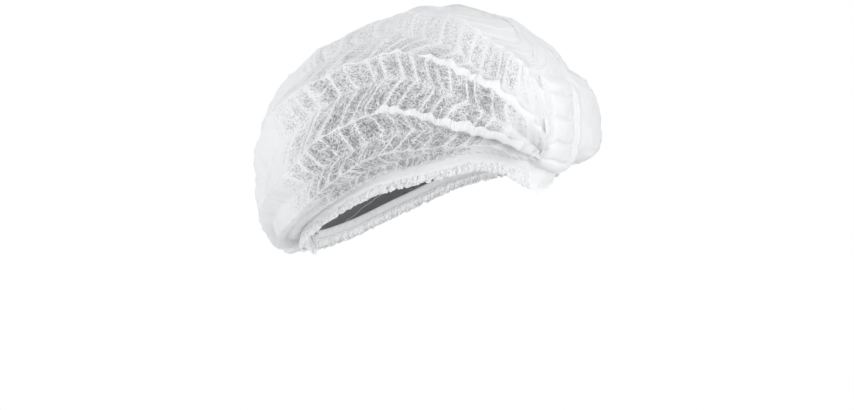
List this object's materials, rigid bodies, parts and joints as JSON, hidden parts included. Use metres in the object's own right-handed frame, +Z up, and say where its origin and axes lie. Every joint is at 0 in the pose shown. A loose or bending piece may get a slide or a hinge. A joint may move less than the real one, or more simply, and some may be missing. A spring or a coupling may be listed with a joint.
{
  "type": "pleated disposable cap",
  "caption": "Light disposable cap of pleated non-woven cloth, puffed over the head, with elastic and a gathered ruffle around the face and nape.",
  "frame": {"origin": "centre of the head opening, level with the ruffle's edge at the brow", "axes": "+Z up through the crown, -Y towards the wearer's face, +X towards the wearer's left"},
  "size_m": [0.2208, 0.2547, 0.1868],
  "materials": {
    "cloth": "matte white spunbond non-woven, thin enough to see through",
    "elastic": "matte white elastic covered with the same cloth"
  },
  "bodies": {
    "root": {"crown": "cloth", "front_folded_end": "cloth", "back_folded_end": "cloth", "elastic_right": "elastic", "elastic_left": "elastic", "ruffle_right": "cloth", "ruffle_left": "cloth"}
  },
  "joints": []
}
